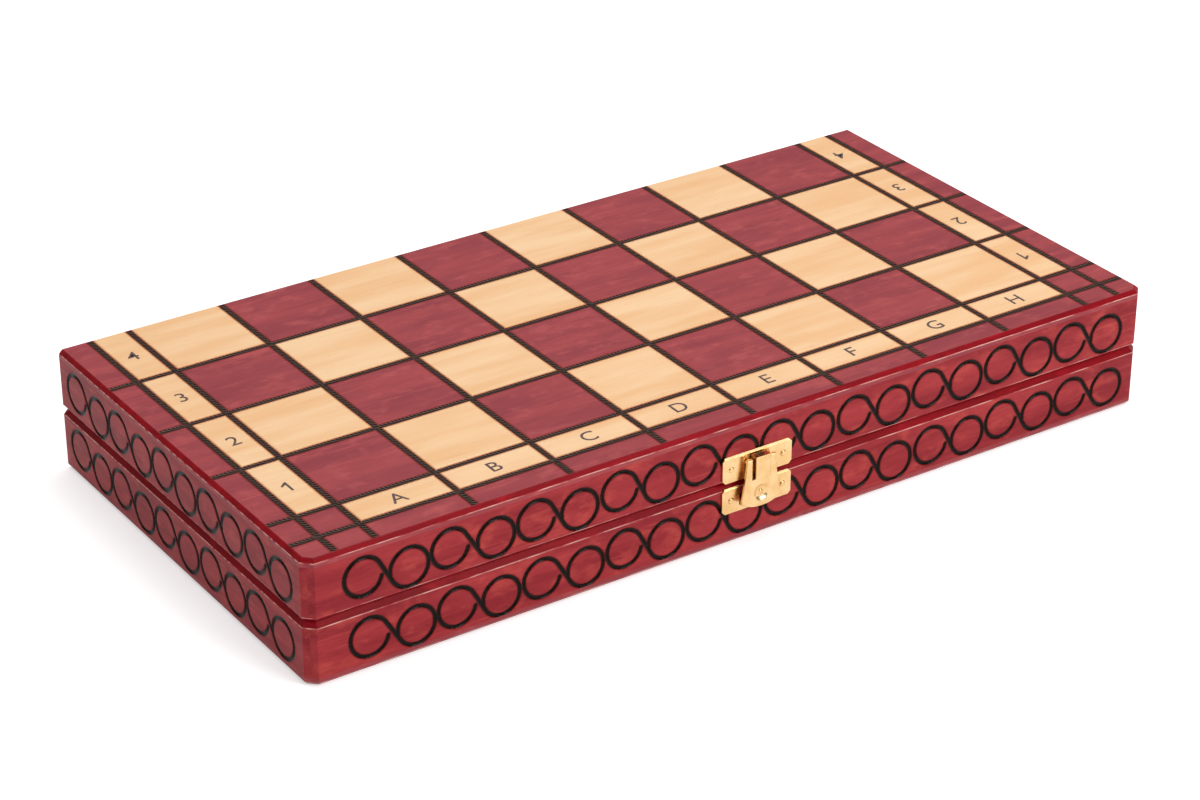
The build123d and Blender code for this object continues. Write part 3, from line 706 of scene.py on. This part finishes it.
# Latch: pressed from thin bright brass sheet, nailed on through both plates.
# Pressing leaves rounded edges and a satin face that mirrors the room softly.
# Bright brass mirrors the room in a soft straw yellow, and drawn nails are a little smoother.
bright_brass = metal("pressed_bright_brass", "#E6BC80", "#F4CF9A", 0.26, 0, 110.0)
nail_brass = metal("drawn_brass_nail", "#E2B87C", "#F0CA92", 0.2, 2, 115.0)
for name in ("latch_catch_plate", "latch_base_plate"):
    softened(name, 0.2, bright_brass)
link = softened("latch_link", 0.16, bright_brass)

# The link's plate is thinned and drawn in a little, so that it lies nearer the lever's face.
link_narrowing = 0.95
plate_depth, outer_face_depth = 4.3, 5.0
inner_set_back, outer_set_back = 0.6, 0.8
foot_zone_rise, foot_trim = 1.3, 0.4
for vertex in link.data.vertices:
    vertex.co.x *= link_narrowing
    if vertex.co.y < -(board_half_y + plate_depth) * MM:
        outer_face = vertex.co.y < -(board_half_y + outer_face_depth) * MM
        vertex.co.y += (outer_set_back if outer_face else inner_set_back) * MM
        vertex.co.z += foot_trim * MM if vertex.co.z < (seam_level + foot_zone_rise) * MM else 0
for name in ("latch_catch_nails", "latch_base_nails", "latch_lever_rivets"):
    softened(name, 0.12, nail_brass)
dress("latch_link_pin", nail_brass)

# Lever: one sheet of the same brass, pressed with a dished boss, rolled edges and a flared lip.
# Its two cheeks are folded back along the notch and take the rivets and the pin of the link.
sheet = 0.6
lever_top, notch_foot, lever_corner, lever_tip = 8.9, 1.0, -7.4, -9.6
notch_half = 3.7
lever_front = 3.5
lip_flare = 0.7
edge_roll = 0.45
dish_rise, dish_radius, dish_sink, boss_radius = -4.6, 2.4, 0.7, 0.9
pivot_eyes = ((2.0, 7.8), (1.9, 0.1))
eye_radius, bore_radius = 0.85, 0.45


def lever_half_width(rise):
    """Half the lever's width: narrow at the prongs, and spreading smoothly to the lip."""
    share = np.clip((lever_top - rise) / (lever_top - lever_corner), 0, 1)
    return 5.9 + 2.5 * share ** 1.4


def foot_rise(across):
    """The rounded foot of the lever, lowest in the middle."""
    return lever_tip + (lever_corner - lever_tip) * (np.abs(across) / 8.4) ** 2.4


def lever_sheet(across, rise):
    """Depth of the pressed front at points of the lever: rolled edges, dished boss and lip."""
    to_side = lever_half_width(rise) - np.abs(across)
    to_notch = np.where(rise > notch_foot, np.abs(across) - notch_half, 9.0)
    to_top, to_foot = lever_top - rise, rise - foot_rise(across)
    near = np.clip(np.minimum(np.minimum(to_side, to_notch), np.minimum(to_top, to_foot)), 0, edge_roll)
    rolled = edge_roll - np.sqrt(np.maximum(edge_roll ** 2 - (edge_roll - near) ** 2, 0))
    from_boss = np.hypot(across, rise - dish_rise)
    dish_middle, dish_width = (dish_radius + boss_radius) / 2, dish_radius - boss_radius
    ring = np.clip(1 - ((from_boss - dish_middle) / dish_width) ** 2, 0, 1)
    lip = lip_flare * np.clip((lever_corner + 1.6 - rise) / 3.8, 0, 1) ** 1.5
    return lever_front + lip - rolled - dish_sink * ring ** 1.5


def knots(low, high, count):
    """Places from low to high, closer together near both ends."""
    return low + (high - low) * (1 - np.cos(np.linspace(0, np.pi, count))) / 2


body_v, body_s = knots(0, 1, 46), knots(-1, 1, 61)
nominal = notch_foot + (lever_corner - notch_foot) * body_v
across = body_s[None, :] * lever_half_width(nominal)[:, None]
rise = notch_foot + (foot_rise(across) - notch_foot) * body_v[:, None]
patches = [(np.c_[across.ravel(), rise.ravel()], grid_faces(46, 61))]
for end in (-1, 1):
    levels = knots(notch_foot, lever_top, 30)
    inner, outer = np.full(30, notch_half), lever_half_width(levels)
    share = knots(0, 1, 13)
    across = end * (inner[:, None] + (outer - inner)[:, None] * share)
    rise = np.repeat(levels[:, None], 13, 1)
    turned = grid_faces(30, 13) if end > 0 else grid_faces(30, 13)[:, ::-1]
    patches.append((np.c_[across.ravel(), rise.ravel()], turned[:, ::-1]))
plan_points, front_faces = joined_patches(patches)
depth = lever_sheet(plan_points[:, 0], plan_points[:, 1])
front_points = np.c_[plan_points[:, 0], -board_half_y - depth, seam_level + plan_points[:, 1]]
lever_mesh = bmesh.new()
placed = [lever_mesh.verts.new(point * MM) for point in front_points]
for face in front_faces:
    lever_mesh.faces.new([placed[i] for i in face])
bmesh.ops.remove_doubles(lever_mesh, verts=lever_mesh.verts, dist=1e-5)
bmesh.ops.recalc_face_normals(lever_mesh, faces=lever_mesh.faces)
backs = bmesh.ops.extrude_face_region(lever_mesh, geom=lever_mesh.faces[:])["geom"]
for part in backs:
    if isinstance(part, bmesh.types.BMVert):
        part.co.y += sheet * MM
bmesh.ops.recalc_face_normals(lever_mesh, faces=lever_mesh.faces)
lever_data = bpy.data.meshes.new("latch_lever_pressed")
lever_mesh.to_mesh(lever_data)
lever_mesh.free()


def cheek(end):
    """One folded cheek, cut from sheet with the bores of the rivet and the link pin."""
    curve = bpy.data.curves.new("cheek", "CURVE")
    curve.dimensions = "2D"
    curve.fill_mode = "BOTH"
    curve.extrude = sheet / 2 - 0.08
    curve.bevel_depth = 0.08
    curve.offset = -0.08
    front = lever_front - sheet + 0.2
    (top_depth, top_rise), (low_depth, low_rise) = pivot_eyes
    upper_arc = np.linspace(math.pi / 2, math.pi, 9)
    lower_arc = np.linspace(math.pi, 1.5 * math.pi, 9)
    outline = [(front, low_rise - eye_radius), (front, top_rise + eye_radius)]
    outline += [(top_depth + eye_radius * math.cos(t), top_rise + eye_radius * math.sin(t))
                for t in upper_arc]
    outline += [(low_depth + eye_radius * math.cos(t), low_rise + eye_radius * math.sin(t))
                for t in lower_arc]
    circle = np.linspace(0, 2 * math.pi, 21)[:-1]
    bores = [[(d + bore_radius * math.cos(t), z + bore_radius * math.sin(t)) for t in circle]
             for d, z in pivot_eyes]
    for loop in [outline, *bores]:
        spline = curve.splines.new("POLY")
        spline.points.add(len(loop) - 1)
        for point, (d, z) in zip(spline.points, loop):
            point.co = (d, z, 0, 1)
        spline.use_cyclic_u = True
    carrier = bpy.data.objects.new("cheek", curve)
    mesh = bpy.data.meshes.new_from_object(carrier)
    flat = np.array([v.co for v in mesh.vertices])
    faces = [list(p.vertices) for p in mesh.polygons]
    bpy.data.objects.remove(carrier)
    bpy.data.curves.remove(curve)
    bpy.data.meshes.remove(mesh)
    x = end * (notch_half + sheet / 2) + flat[:, 2]
    return np.c_[x, -board_half_y - flat[:, 0], seam_level + flat[:, 1]], faces


front_part = (np.array([v.co for v in lever_data.vertices]) / MM,
              [list(p.vertices) for p in lever_data.polygons])
points, faces = joined_patches([front_part, cheek(-1), cheek(1)])
lever = as_object("latch_lever_sheet", points, faces, [bright_brass])
count = len(front_part[1])
lever.data.polygons.foreach_set("use_smooth", [True] * count + [False] * (len(faces) - count))
lever.data.set_sharp_from_angle(angle=math.radians(50))
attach(lever, "latch_lever")
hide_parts("latch_lever")

# Room: a plain white table and a white surround that metal and varnish reflect.
# One broad lamp stands before the case on the right, a weaker one hangs overhead.
floor_size = 6.0
floor_mesh = bpy.data.meshes.new("floor")
edge = floor_size / 2
corners = [(-edge, -edge, 0), (edge, -edge, 0), (edge, edge, 0), (-edge, edge, 0)]
floor_mesh.from_pydata(corners, [], [[0, 1, 2, 3]])
floor = bpy.data.objects.new("floor", floor_mesh)
bpy.context.scene.collection.objects.link(floor)
white_table, tree, output = empty_material("white_table_card")
light_path = node(tree, "ShaderNodeLightPath")
in_metal = ramped(tree, light_path.outputs["Is Glossy Ray"], 0, 1, 0.0, 0.3)
glow_strength = ramped(tree, light_path.outputs["Is Camera Ray"], 0, 1, in_metal, 0.5)
card = node(tree, "ShaderNodeBsdfDiffuse", {"Color": (0.9, 0.9, 0.9, 1)})
glow = node(tree, "ShaderNodeEmission", {"Color": (1, 1, 1, 1), "Strength": glow_strength})
both = node(tree, "ShaderNodeAddShader", {0: card.outputs[0], 1: glow.outputs[0]})
tree.links.new(both.outputs[0], output.inputs[0])
floor_mesh.materials.append(white_table)

world = bpy.data.worlds.new("white_surround")
bpy.context.scene.world = world
world.use_nodes = True
tree = world.node_tree
tree.nodes.clear()
light_path = node(tree, "ShaderNodeLightPath")
shown = node(tree, "ShaderNodeMath", {0: light_path.outputs["Is Camera Ray"],
                                      1: light_path.outputs["Is Transmission Ray"]}, operation="MAXIMUM")
way = node(tree, "ShaderNodeSeparateXYZ", {0: node(tree, "ShaderNodeTexCoord").outputs["Generated"]})
overhead = ramped(tree, way.outputs["Z"], 0.1, 0.95, 0.12, 1.0)
mirrored = blended(tree, light_path.outputs["Is Glossy Ray"], (0.42, 0.42, 0.42, 1), overhead)
strength = ramped(tree, shown.outputs[0], 0, 1, mirrored, 1.0)
background = node(tree, "ShaderNodeBackground", {"Color": (1, 1, 1, 1), "Strength": strength})
node(tree, "ShaderNodeOutputWorld", {"Surface": background.outputs[0]})


def lamp(name, place, target, size, power):
    """A broad square lamp that faces a point of the case."""
    light = bpy.data.lights.new(name, "AREA")
    light.shape = "SQUARE"
    light.size = size
    light.energy = power
    made = bpy.data.objects.new(name, light)
    bpy.context.scene.collection.objects.link(made)
    made.location = place
    made.rotation_euler = (Vector(target) - Vector(place)).to_track_quat("-Z", "Y").to_euler()


lamp("front_lamp", (0.5, -1.4, 0.9), (0, 0, 0.02), 0.9, 14.5)
lamp("top_lamp", (0.2, 0.3, 1.6), (0, 0, 0), 1.2, 11)

# Camera: where the photographer's stood, worked out from how the squares of the board shrink.
camera_place = Vector((-0.5879, -0.8674, 0.5735))
camera_right = Vector((0.83023, -0.55743, 0.0005))
camera_up = Vector((0.26220, 0.39130, 0.88212))
camera_back = Vector((-0.49191, -0.73223, 0.47102))
camera = bpy.data.cameras.new("camera")
camera.sensor_width = 36.0
camera.lens = 98.5
camera_object = bpy.data.objects.new("camera", camera)
bpy.context.scene.collection.objects.link(camera_object)
turn = Matrix((camera_right, camera_up, camera_back)).transposed().to_4x4()
camera_object.matrix_world = Matrix.Translation(camera_place) @ turn
bpy.context.scene.camera = camera_object
bpy.context.scene.view_settings.view_transform = "Standard"
